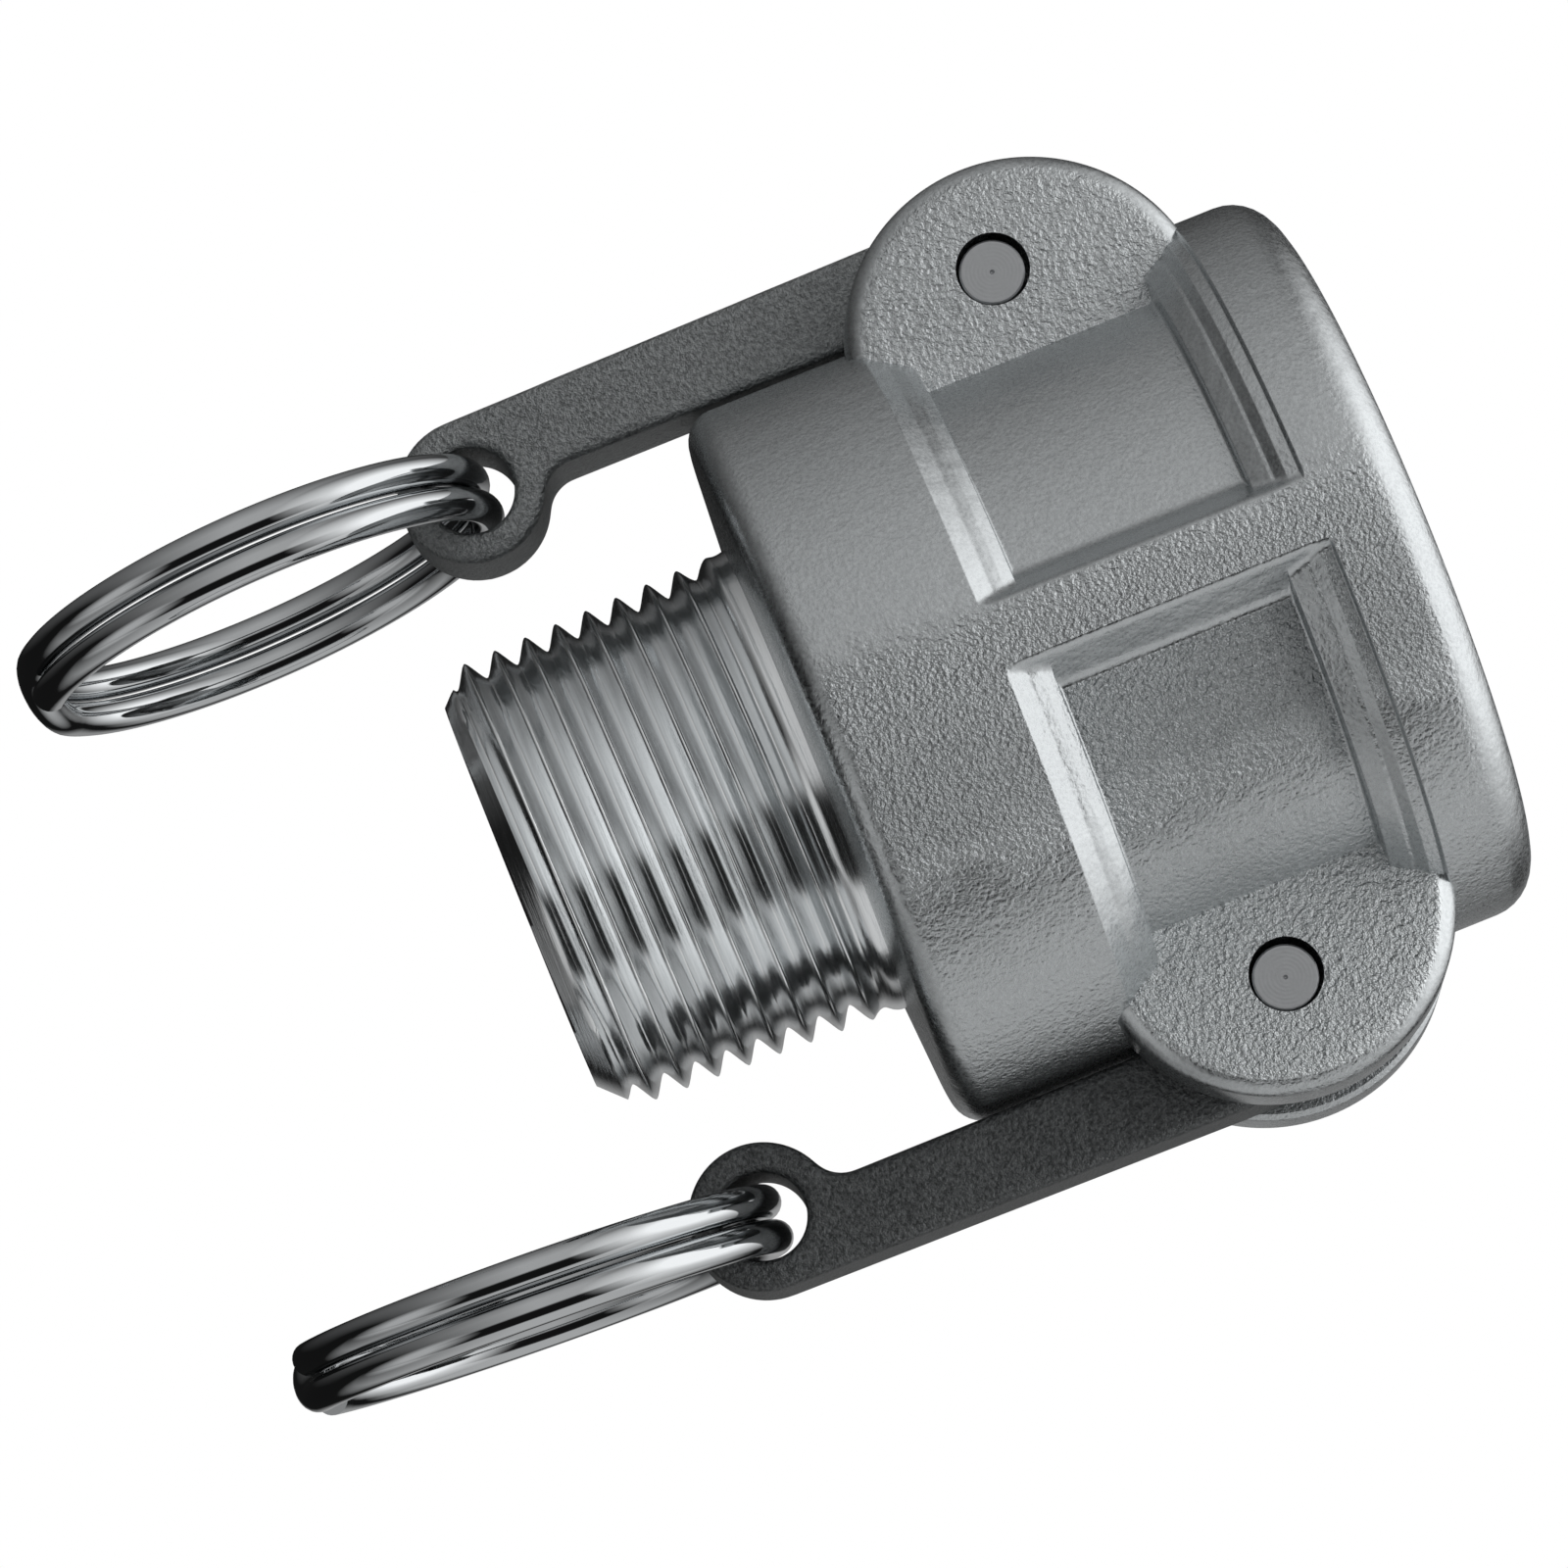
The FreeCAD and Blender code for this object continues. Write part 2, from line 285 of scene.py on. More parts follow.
spread = between(tree, grain, 0.35, 0.65, 0.0, 1.0)
even_colour = shade(tree, spread, (0.49, 0.51, 0.52), (0.60, 0.625, 0.635))
below_rib = between(tree, spot["X"], 1 * MM, 5 * MM, 0.35, 0.75)
dull = calc(tree, "MULTIPLY", coarse, calc(tree, "SUBTRACT", below_rib, on_ear))
duller = shade(tree, calc(tree, "MAXIMUM", dull, 0.0), even_colour, (0.34, 0.355, 0.362))
light_ears = between(tree, spot["X"], -1 * MM, 1 * MM, 0.0, 0.75)
lighter = shade(tree, calc(tree, "MULTIPLY", on_ear, light_ears), duller, (0.72, 0.75, 0.76))
tree.links.new(lighter, shader.inputs["Base Color"])
tree.links.new(between(tree, grain, 0.35, 0.65, 0.24, 0.34), shader.inputs["Roughness"])
bump(tree, shader, (skin, 0.06, 1.0), (dents.outputs["Distance"], 0.14, coarse), (grain, 0.42, coarse))

# %% [markdown]
# The levers are cast as well, then tumbled. They are darker than the casting, and their grain is finer.
# The right lever gets a darker copy of the same finish, painted shade that makes it darker than the
# left. A picture would stretch over their soft edges, so they get noise between two greys.

# %% Finish of the levers


def lever_finish(name, dark, light):
    """The tumbled cast finish, between two greys."""
    material, tree, shader, place = new_finish(name, 0.42)
    grain = noise(tree, place, 0.22, 3.0, 0.6)
    skin = noise(tree, place, 1.4, 2.0, 0.5)
    spread = between(tree, grain, 0.35, 0.65, 0.0, 1.0)
    greys = [(grey, grey * 1.04, grey * 1.05) for grey in (dark, light)]
    tree.links.new(shade(tree, spread, *greys), shader.inputs["Base Color"])
    tree.links.new(between(tree, grain, 0.35, 0.65, 0.36, 0.48), shader.inputs["Roughness"])
    bump(tree, shader, (skin, 0.06, 1.0), (grain, 0.2, 1.0))
    return material


lever_steel = lever_finish("lever_steel", 0.19, 0.35)
# Painted shade: the right lever's copy of the finish, darker than the left one's
dark_lever_steel = lever_finish("dark_lever_steel", 0.07, 0.17)

# %% [markdown]
# What was cut on a lathe, the thread and the inside of the socket, has fine lines round the axis. A
# noise that is stretched round the axis gives such lines without a seam. It counts the distance from
# the axis as well as the height, so that a flat face gets its lines too.

# %% Finish of the machined faces
machined_steel, tree, shader, place = new_finish("machined_steel", 0.22)
spot = split(tree, place)
outwards = calc(tree, "MULTIPLY", distance(tree, spot["X"], spot["Y"]), 0.35)
stretched = [calc(tree, "MULTIPLY", spot[name], 0.05) for name in "XY"]
lines = noise(tree, combined(tree, *stretched, calc(tree, "ADD", spot["Z"], outwards)), 0.12, 3.0, 0.6)
tree.links.new(shade(tree, lines, (0.74, 0.76, 0.77), (0.92, 0.94, 0.95)), shader.inputs["Base Color"])
tree.links.new(between(tree, lines, 0.3, 0.7, 0.12, 0.22), shader.inputs["Roughness"])
bump(tree, shader, (lines, 0.012, 1.0))

# %% [markdown]
# The pins' ends were faced on a lathe, which leaves very fine rings round the middle. A sine of the
# distance from the pin's axis draws them for both pins at once.

# %% Finish of the pins
pin_steel, tree, shader, place = new_finish("pin_steel", 0.35)
spot = split(tree, place)
across = calc(tree, "SUBTRACT", calc(tree, "ABSOLUTE", spot["X"]), pin_x * MM)
along = calc(tree, "SUBTRACT", spot["Z"], pin_z * MM)
turning = calc(tree, "MULTIPLY", distance(tree, across, along), 2 * math.pi / (0.22 * MM))
grain = noise(tree, place, 0.2, 2.0, 0.5)
shader.inputs["Base Color"].default_value = (0.42, 0.43, 0.44, 1)
tree.links.new(between(tree, grain, 0.3, 0.7, 0.3, 0.42), shader.inputs["Roughness"])
bump(tree, shader, (calc(tree, "SINE", turning), 0.0015, 1.0), (grain, 0.008, 1.0))

# %% [markdown]
# The rings are hard drawn wire, bright as a mirror. Such metal shows what stands round it, so the
# finish is only a low roughness and a slight waviness.

# %% Finish of the ring wire
ring_wire, tree, shader, place = new_finish("ring_wire", 0.06)
marks = noise(tree, place, 2.5, 2.0, 0.5)
shader.inputs["Base Color"].default_value = (0.55, 0.565, 0.575, 1)
tree.links.new(between(tree, marks, 0.3, 0.7, 0.04, 0.08), shader.inputs["Roughness"])
bump(tree, shader, (marks, 0.01, 1.0))

# %% [markdown]
# Two finishes are nearly black. The drilled wall round each pin is painted near black: painted shade
# that makes the gap darker than its own shadow would. The gasket is dull rubber, and no metal.

# %% Painted shade in the gap round each pin
# Painted shade: a near black wall in each pin hole, darker than the gap's own shadow
grime, tree, shader, place = new_finish("grime", 0.6, metallic=0.3)
shader.inputs["Base Color"].default_value = (0.012, 0.012, 0.013, 1)

# %% Finish of the gasket
seal_rubber, tree, shader, place = new_finish("seal_rubber", 0.6, metallic=0.0)
grain = noise(tree, place, 0.3, 3.0, 0.6)
tree.links.new(shade(tree, grain, (0.018, 0.018, 0.019), (0.035, 0.035, 0.036)), shader.inputs["Base Color"])
bump(tree, shader, (grain, 0.02, 1.0))
print("finishes", [m.name for m in bpy.data.materials])

# %% [markdown]
# Most pieces are turned, as on a lathe: an outline of radius and height is carried round an axis,
# with its corners rounded first. That keeps every size of a piece in one short list.

# %% Turned pieces


def clean(mesh, merge=0, collapse=0):
    """Merges points and collapses faces within so many metres, and turns all faces outwards."""
    shape = bmesh.new()
    shape.from_mesh(mesh)
    if merge:
        bmesh.ops.remove_doubles(shape, verts=shape.verts, dist=merge)
    if collapse:
        bmesh.ops.dissolve_degenerate(shape, edges=shape.edges, dist=collapse)
    bmesh.ops.recalc_face_normals(shape, faces=shape.faces)
    shape.to_mesh(mesh)
    shape.free()


def mesh_object(name, points, faces, material):
    """A mesh object whose faces point outwards."""
    mesh = bpy.data.meshes.new(name)
    mesh.from_pydata(points, [], faces)
    mesh.materials.append(material)
    clean(mesh)
    return linked(name, mesh)


def rounded(corners):
    """An outline of (u, v, corner radius) as plain points, with each corner rounded by its radius."""
    result = []
    for k, (u, v, radius) in enumerate(corners):
        if radius == 0:
            result.append((u, v))
            continue
        corner = Vector((u, v))
        back = (Vector(corners[k - 1][:2]) - corner).normalized()
        ahead = (Vector(corners[(k + 1) % len(corners)][:2]) - corner).normalized()
        half_angle = back.angle(ahead) / 2
        centre = corner + (back + ahead).normalized() * (radius / math.sin(half_angle))
        first = corner + back * (radius / math.tan(half_angle)) - centre
        last = corner + ahead * (radius / math.tan(half_angle)) - centre
        sweep = first.angle_signed(last)
        steps = max(2, round(abs(math.degrees(sweep)) / 11))
        for i in range(steps + 1):
            result.append(tuple(centre + Matrix.Rotation(-sweep * i / steps, 2) @ first))
    return result


def turned(name, outline, material, angles=128, radius_rule=None):
    """A closed outline of (radius, height) in millimetres, turned about Z. The angles are a number of
    even steps or a list, and a rule may set the radius from the angle, radius and height."""
    if isinstance(angles, int):
        angles = [2 * math.pi * i / angles for i in range(angles)]
    points = []
    faces = []
    for a in angles:
        for r, z in outline:
            if radius_rule:
                r = radius_rule(a, r, z)
            points.append((r * math.cos(a) * MM, r * math.sin(a) * MM, z * MM))
    count = len(outline)
    for i in range(len(angles)):
        here = i * count
        there = (i + 1) % len(angles) * count
        for k in range(count):
            following = (k + 1) % count
            faces.append((here + k, here + following, there + following, there + k))
    obj = mesh_object(name, points, faces, material)
    clean(obj.data, merge=1e-7, collapse=1e-8)
    return obj


# %% [markdown]
# Pieces are joined or cut by boolean modifiers. The manifold solver is quick and exact, and needs
# closed meshes, which turned pieces are. The other helpers shade a piece, move or copy it, and print
# what it came out as.

# %% Joining, cutting and moving


def apply_modifiers(obj):
    """The object with its modifiers turned into plain mesh."""
    graph = bpy.context.evaluated_depsgraph_get()
    mesh = bpy.data.meshes.new_from_object(obj.evaluated_get(graph))
    obj.modifiers.clear()
    obj.data = mesh


def combine(obj, operation, others):
    """Joins each other piece to the object, or takes it out, and deletes it."""
    for other in others:
        modifier = obj.modifiers.new("combine", "BOOLEAN")
        modifier.operation = operation
        modifier.solver = "MANIFOLD"
        modifier.object = other
    apply_modifiers(obj)
    for other in others:
        bpy.data.objects.remove(other)


def join(obj, *others):
    combine(obj, "UNION", others)


def cut(obj, *others):
    combine(obj, "DIFFERENCE", others)


def smooth(obj, sharp_deg):
    """Smooth shading, with edges sharper than so many degrees kept crisp."""
    obj.data.shade_smooth()
    obj.data.set_sharp_from_angle(angle=math.radians(sharp_deg))


def report(obj):
    """Prints what a piece came out as."""
    mesh = obj.data
    mesh.calc_loop_triangles()
    used = sorted({mesh.materials[p.material_index].name for p in mesh.polygons})
    print(f"{obj.name}: {len(mesh.loop_triangles)} triangles, {used}")


def move(obj, matrix):
    """Moves the mesh itself, so that the object stays at the origin."""
    obj.data.transform(matrix)
    if matrix.determinant() < 0:
        obj.data.flip_normals()


def copy_of(obj, name):
    """A second piece with a mesh of its own."""
    return linked(name, obj.data.copy())


# %% [markdown]
# The casting is turned about the axis: a low dome and round corner at the shoulder, a bevel in to the
# waist, a bevel out to the band at the mouth, and a round corner there. Each bevel has several faces,
# with soft creases between them, and drops to the waist in a short step.

# %% Outline of the casting
thread_length = 17.4
thread_end_r = 13.015
thread_taper = 1 / 16
collar_r = thread_end_r + thread_taper * thread_length / 2
recess_top = gasket_high.z + 0.15
shoulder_top = recess_top + 0.7
shoulder_dome = 0.5
shoulder_corner_r = 1.8
bevel_height = 2.45
waist_r = bore_r + 1.9
mouth_bevel_height = 2.75
mouth_band_bottom = body_top - 5.3
mouth_corner_r = 2.6
low_bevel_end = shoulder_top + bevel_height
high_bevel_end = mouth_band_bottom - mouth_bevel_height
bevel_rows = 0.6
rib_low = shoulder_top - 0.3
rib_high = mouth_band_bottom + 0.3

# Corners of the bevels: how far in from the body's side, how far up from the bevel's start, radius
shoulder_bevel = [(0.68, 1.05, 0), (0.97, 1.75, 3.5), (1.45, bevel_height - 0.05, 0.1)]
mouth_bevel = [(1.5, 0.05, 0.1), (0.96, 1.1, 0.12), (0.91, 1.3, 0.12), (0.45, 1.9, 0.15)]
mouth_bevel += [(0.34, mouth_bevel_height - 0.15, 0.1)]

casting_outline = rounded([
    (0, thread_length, 0),
    (collar_r, thread_length, 0),
    (body_r, thread_length + shoulder_dome, shoulder_corner_r),
    (body_r, shoulder_top, 0.2),
    *[(body_r - drop, shoulder_top + rise, corner) for drop, rise, corner in shoulder_bevel],
    (waist_r, low_bevel_end, 0.25),
    (waist_r, low_bevel_end + bevel_rows, 0),
    (waist_r, high_bevel_end - bevel_rows, 0),
    (waist_r, high_bevel_end, 0.25),
    *[(body_r - drop, high_bevel_end + rise, corner) for drop, rise, corner in mouth_bevel],
    (body_r, mouth_band_bottom, 0.1),
    (body_r, body_top, mouth_corner_r),
    (0, body_top, 0),
])


def with_rows(outline, low, high, gap):
    """The outline with more points where it lies between two heights, so that a rib can cross it."""
    result = []
    for start, end in zip(outline, outline[1:] + outline[:1]):
        result.append(start)
        middle = (start[1] + end[1]) / 2
        if low < middle < high:
            count = math.ceil(math.dist(start, end) / gap(middle))
            for i in range(1, count):
                share = i / count
                result.append(tuple(a + (b - a) * share for a, b in zip(start, end)))
    return result


def row_gap(z):
    """Rows are close on the bevels, where the rib runs out, and wide on the straight waist."""
    on_waist = low_bevel_end + bevel_rows < z < high_bevel_end - bevel_rows
    return 0.8 if on_waist else 0.1


casting_outline = with_rows(casting_outline, rib_low, rib_high, row_gap)
print("casting outline", len(casting_outline), "points")

# %% [markdown]
# Two ribs run between the bands, flush with them, one at the front and one at the back. They are made
# as part of the turning: where a rib stands, its top and sides set the radius instead. A soft minimum
# rounds the edge of the top, and a soft maximum gives the inner corner at the foot.

# %% Ribs and turning
rib_top_width = 3.5
rib_foot_width = 6.35
rib_edge_reach = 0.5
rib_foot_reach = 0.6
rib_half_deg = 14
foot_y = math.sqrt(waist_r ** 2 - (rib_foot_width / 2) ** 2)


def slope_radius(a, width_out, y_out, width_in, y_in):
    """Where a ray at an angle from the rib's middle meets one side of the rib."""
    run = (width_in - width_out) / 2 / (y_out - y_in)
    return (width_out / 2 + y_out * run) / (math.sin(a) + run * math.cos(a))


def soft_least(a, b, reach):
    """The smaller of two lengths, eased over a short reach."""
    near = max(reach - abs(a - b), 0) / reach
    return min(a, b) - near * near * reach / 4


def rib_radius(a):
    """How far out the rib reaches at an angle from its middle."""
    side = slope_radius(a, rib_top_width, body_r, rib_foot_width, foot_y)
    return soft_least(side, body_r, rib_edge_reach)


def casting_radius(a, r, z):
    """The outline's radius, or the rib's where that is larger."""
    from_rib = abs(math.asin(math.cos(a)))
    if not rib_low < z < rib_high or r <= waist_r - 0.5 or from_rib > math.radians(rib_half_deg):
        return r
    return min(-soft_least(-r, -rib_radius(max(from_rib, 0.001)), rib_foot_reach), body_r)


def angles_between(start_deg, end_deg, step_deg):
    """Angles in radians from a start up to, but not at, the end."""
    count = round((end_deg - start_deg) / step_deg)
    return [math.radians(start_deg + (end_deg - start_deg) * i / count) for i in range(count)]


casting_angles = []
for rib_deg in (90, 270):
    casting_angles += angles_between(rib_deg - 180 + rib_half_deg, rib_deg - rib_half_deg, 1.6)
    casting_angles += angles_between(rib_deg - rib_half_deg, rib_deg + rib_half_deg, 0.25)
casting = turned("casting", casting_outline, cast_steel, casting_angles, casting_radius)
report(casting)

# %% [markdown]
# Each side has a pair of ears. They start as one round lug with a broken edge, turned about its own
# axis and joined to the casting. A block then cuts the gap for the lever, and a second block carries
# it on through the wall of the socket as the cam's window.

# %% Ears and gaps
hole_z = pin_z + 0.1
ear_outline_r = 10.15
ear_centre_x = ear_tip_x - ear_outline_r
ear_centre_z = hole_z + 0.5
ear_edge = 1.5
gap_half = lever_half + 0.2
handle_inner_x = lever_outer_x - 4.95
window_half_height = pin_x - cam_inner_x + 0.7


def laid_along_y(obj, at_x, at_z):
    """Turns a piece that was made about Z so that it lies along Y, at a place."""
    lay = Matrix.Rotation(math.radians(90), 4, "X")
    move(obj, Matrix.Translation((at_x * MM, 0, at_z * MM)) @ lay)
    return obj


def lug(side):
    """Both ears of one side as one piece, with a shallow groove where the gap's soft edges come."""
    r = ear_outline_r
    groove = 0.3
    half = [
        (0, ear_half, 0),
        (r, ear_half, ear_edge),
        (r, gap_half + groove, 0.2),
        (r - groove, gap_half, 0),
    ]
    corners = half + [(radius, -height, corner) for radius, height, corner in reversed(half)]
    return laid_along_y(turned("lug", rounded(corners), cast_steel, 180), side * ear_centre_x, ear_centre_z)


def box_cutter(low, high):
    """A plain block given by two corners in millimetres."""
    spots = [(x, y, z) for x in (low[0], high[0]) for y in (low[1], high[1]) for z in (low[2], high[2])]
    sides = [(0, 1, 3, 2), (4, 6, 7, 5), (0, 4, 5, 1), (2, 3, 7, 6), (0, 2, 6, 4), (1, 5, 7, 3)]
    return mesh_object("cutter", [tuple(c * MM for c in spot) for spot in spots], sides, cast_steel)


def gap_cutters(side):
    """The gap between two ears, and the window through the wall."""
    ends = ear_outline_r + 2
    near, far = side * (handle_inner_x - 0.1), side * (ear_tip_x + 1)
    gap_low = (min(near, far), -gap_half, hole_z - ends)
    gap_high = (max(near, far), gap_half, hole_z + ends)
    near = side * (cam_inner_x - 1)
    window_low = (min(near, far), -gap_half, hole_z - window_half_height)
    window_high = (max(near, far), gap_half, hole_z + window_half_height)
    return box_cutter(gap_low, gap_high), box_cutter(window_low, window_high)


for side in (1, -1):
    join(casting, lug(side))
    cut(casting, *gap_cutters(side))
report(casting)

# %% [markdown]
# The inside is machined after casting, so its edges are crisp: the flow bore, the recess that holds
# the gasket, the socket with its land and lead-in at the mouth, and the holes for the pins. Each
# is a turned cutter taken out of the casting, which leaves the machined finish on the cut faces,
# except in the pin holes, whose walls get near black painted shade.

# %% Machined cuts
floor_z = gasket_low.z
recess_r = gasket_high.x + 0.15
socket_draft = 0.1
mouth_lead = 0.8
pin_hole_r = pin_r + 0.24
pin_sag = 0.14
flow_r = 9.6
casting_flow_r = flow_r + 0.02
inside_outline = [
    (0, thread_length - 1),
    (casting_flow_r, thread_length - 1),
    (casting_flow_r, floor_z),
    (recess_r, floor_z),
    (recess_r, recess_top),
    (bore_r - socket_draft, recess_top),
    (bore_r, hole_z + window_half_height + 0.3),
    (bore_r, body_top - mouth_lead),
    (bore_r + mouth_lead + 1, body_top + 1),
    (0, body_top + 1),
]
inside_cutter = turned("inside_cutter", inside_outline, machined_steel, 192)


def pin_cutter(side):
    """The drill for one side's two ears."""
    reach = ear_half + 1
    outline = [(0, -reach), (pin_hole_r, -reach), (pin_hole_r, reach), (0, reach)]
    # The drilled wall gets the near black painted shade finish
    return laid_along_y(turned("pin_cutter", outline, grime, 64), side * pin_x - pin_sag, hole_z)


cut(casting, inside_cutter, pin_cutter(1), pin_cutter(-1))
smooth(casting, 38)
report(casting)

# %% [markdown]
# The thread follows a rule, so Geometry Nodes make it: 14 turns to the inch on a 1 in 16 taper. A
# flat grid is rolled round the axis, with its rows laid along the helix. The rows then follow the
# crests and roots exactly, and the seam closes because one turn further round is one turn further
# up. The flanks are a rounded zigzag, asin(k cos), which gives 60 degree flanks with k near 1.

# %% Node tree helpers


def geometry_tree(name, inputs):
    """An empty tree with named size inputs and one geometry output, and a finder for the inputs."""
    tree = bpy.data.node_groups.new(name, "GeometryNodeTree")
    for label, value in inputs.items():
        kind = "NodeSocketInt" if isinstance(value, int) else "NodeSocketFloat"
        socket = tree.interface.new_socket(label, in_out="INPUT", socket_type=kind)
        socket.default_value = value
    tree.interface.new_socket("Geometry", in_out="OUTPUT", socket_type="NodeSocketGeometry")
    return tree, tree.nodes.new("NodeGroupInput").outputs


def choose(tree, test, if_false, if_true):
    """A Switch node for numbers."""
    node = add(tree, "GeometryNodeSwitch", {"Switch": test, "False": if_false, "True": if_true},
               {"input_type": "FLOAT"})
    return node.outputs[0]


def finish_tree(tree, geometry, material):
    """Ends a tree in Realize Instances and Set Material."""
    real = add(tree, "GeometryNodeRealizeInstances", {"Geometry": geometry})
    paint = add(tree, "GeometryNodeSetMaterial", {"Geometry": real.outputs[0], "Material": material})
    add(tree, "NodeGroupOutput", {"Geometry": paint.outputs[0]})


def grown(name, tree, material, values=()):
    """An object made by a tree, as a plain mesh."""
    obj = linked(name, bpy.data.meshes.new(name))
    obj.data.materials.append(material)
    modifier = obj.modifiers.new("grow", "NODES")
    modifier.node_group = tree
    identifiers = {item.name: item.identifier for item in tree.interface.items_tree}
    for label, value in dict(values).items():
        modifier[identifiers[label]] = value
    apply_modifiers(obj)
    return obj


# %% The thread's tree
thread_inputs = {
    "Length": thread_length + 0.2,
    "End radius": thread_end_r,
    "Taper": thread_taper,
    "Pitch": 25.4 / 14,
    "Depth": 1.22,
    "First crest": -0.89,
    "Lead": 1.8,
    "Fade from": 14.4,
    "Fade to": 17.6,
    "Bore radius": flow_r,
    "Turns": 12,
    "Rows per turn": 14,
    "Around": 180,
}
sharpness = 0.9
row_squeeze = 0.6

tree, given = geometry_tree("taper_thread", thread_inputs)
profile_rows = calc(tree, "ADD", calc(tree, "MULTIPLY", given["Turns"], given["Rows per turn"]), 1.0)
all_rows = calc(tree, "ADD", profile_rows, 3.0)
grid = add(tree, "GeometryNodeMeshGrid", {
    "Size X": calc(tree, "SUBTRACT", all_rows, 1.0),
    "Size Y": 1.0,
    "Vertices X": all_rows,
    "Vertices Y": calc(tree, "ADD", given["Around"], 1.0),
})
spot = split(tree, add(tree, "GeometryNodeInputPosition", {}).outputs[0])
half_rows = calc(tree, "DIVIDE", calc(tree, "SUBTRACT", all_rows, 1.0), 2.0)
row = calc(tree, "ADD", spot["X"], half_rows)
share_round = calc(tree, "ADD", spot["Y"], 0.5)

# Turn number along the helix, with the rows drawn closer together at crests and roots
even_turn = calc(tree, "DIVIDE", calc(tree, "SUBTRACT", row, 1.0), given["Rows per turn"])
even_turn = calc(tree, "SUBTRACT", even_turn, 1.0)
wave = calc(tree, "SINE", calc(tree, "MULTIPLY", even_turn, 4 * math.pi))
turn_number = calc(tree, "SUBTRACT", even_turn, calc(tree, "MULTIPLY", wave, row_squeeze / (4 * math.pi)))
height = calc(tree, "MULTIPLY", calc(tree, "ADD", turn_number, share_round), given["Pitch"])
height = calc(tree, "ADD", height, given["First crest"])
height = calc(tree, "MINIMUM", calc(tree, "MAXIMUM", height, 0.0), given["Length"])

# Radius: the crest's taper, less the groove, which fades out into the plain collar
half_taper = calc(tree, "DIVIDE", given["Taper"], 2.0)
crest = calc(tree, "ADD", given["End radius"], calc(tree, "MULTIPLY", height, half_taper))
swing = calc(tree, "COSINE", calc(tree, "MULTIPLY", turn_number, 2 * math.pi))
zigzag = calc(tree, "ARCSINE", calc(tree, "MULTIPLY", swing, sharpness))
groove = calc(tree, "SUBTRACT", 0.5, calc(tree, "DIVIDE", zigzag, 2 * math.asin(sharpness)))
fade = between(tree, height, given["Fade from"], given["Fade to"], 1.0, 0.0, "SMOOTHSTEP")
radius_here = calc(tree, "SUBTRACT", crest, product(tree, groove, given["Depth"], fade))
lead_cone = calc(tree, "ADD", calc(tree, "SUBTRACT", given["End radius"], given["Lead"]), height)
radius_here = calc(tree, "MINIMUM", radius_here, lead_cone)

# The first row and the last two close the piece round the flow bore
is_first = calc(tree, "LESS_THAN", row, 0.5)
is_after = calc(tree, "GREATER_THAN", row, calc(tree, "ADD", profile_rows, 0.5))
is_last = calc(tree, "GREATER_THAN", row, calc(tree, "ADD", profile_rows, 1.5))
on_bore = calc(tree, "MAXIMUM", is_first, is_after)
radius_here = choose(tree, on_bore, radius_here, given["Bore radius"])
height = choose(tree, is_last, choose(tree, is_after, height, given["Length"]), 0.0)
height = choose(tree, is_first, height, 0.0)

angle = calc(tree, "MULTIPLY", share_round, 2 * math.pi)
around_x = calc(tree, "MULTIPLY", radius_here, calc(tree, "COSINE", angle))
around_y = calc(tree, "MULTIPLY", radius_here, calc(tree, "SINE", angle))
rolled = add(tree, "GeometryNodeSetPosition", {
    "Geometry": grid.outputs["Mesh"], "Position": combined(tree, around_x, around_y, height),
})
closed = add(tree, "GeometryNodeMergeByDistance", {"Geometry": rolled.outputs[0], "Distance": 0.001})
finish_tree(tree, closed.outputs[0], machined_steel)

thread = grown("thread", tree, machined_steel)
move(thread, Matrix.Scale(MM, 4))
clean(thread.data, collapse=1e-7)
smooth(thread, 50)
report(thread)

# %% [markdown]
# The levers have soft edges and soft inner corners everywhere, as a part does that was poured and
# then tumbled. Bevelling such edges one by one is slow and fragile. A lever is a field instead: a
# grid of points that each know how far they are from the surface, below zero inside. Where the larger
# of two fields is taken, only what both hold is left, and a little blur of the field rounds every
# edge and corner at once.

# %% Field helpers


def arc_points(centre, radius, start_deg, end_deg, steps=16):
    """Points along an arc, in a plane's own two coordinates."""
    angles = np.radians(np.linspace(start_deg, end_deg, steps + 1))
    return [(centre[0] + radius * math.cos(a), centre[1] + radius * math.sin(a)) for a in angles]


def outline_distance(points, u, v):
    """How far each point of a grid is from a closed outline, below zero inside."""
    nearest = np.full(np.broadcast(u, v).shape, np.inf)
    inside = np.zeros(nearest.shape, bool)
    for (u0, v0), (u1, v1) in zip(points, points[1:] + points[:1]):
        du, dv = u1 - u0, v1 - v0
        length_2 = du * du + dv * dv
        if length_2 == 0:
            continue
        share = np.clip(((u - u0) * du + (v - v0) * dv) / length_2, 0, 1)
        nearest = np.minimum(nearest, (u - u0 - share * du) ** 2 + (v - v0 - share * dv) ** 2)
        if dv != 0:
            crosses = (v0 > v) != (v1 > v)
            inside ^= crosses & (u < u0 + (v - v0) * du / dv)
    return np.where(inside, -1, 1) * np.sqrt(nearest)


def field_axes(low, high, step):
    """The grid's three coordinates, shaped so that they combine into a field."""
    x, y, z = (np.arange(a, b + step, step) for a, b in zip(low, high))
    return x[:, None, None], y[None, :, None], z[None, None, :]


def blurred(field, spread):
    """The field after a soft blur, spread given in grid steps."""
    reach = math.ceil(3 * spread)
    offsets = np.arange(-reach, reach + 1)
    weights = np.exp(-0.5 * (offsets / spread) ** 2)
    weights /= weights.sum()
    for axis_number in range(3):
        pad = [(0, 0)] * 3
        pad[axis_number] = (reach, reach)
        padded = np.pad(field, pad, mode="edge")
        size = field.shape[axis_number]
        total = np.zeros_like(field)
        for offset, weight in zip(range(2 * reach + 1), weights):
            total += weight * np.take(padded, range(offset, offset + size), axis=axis_number)
        field = total
    return field


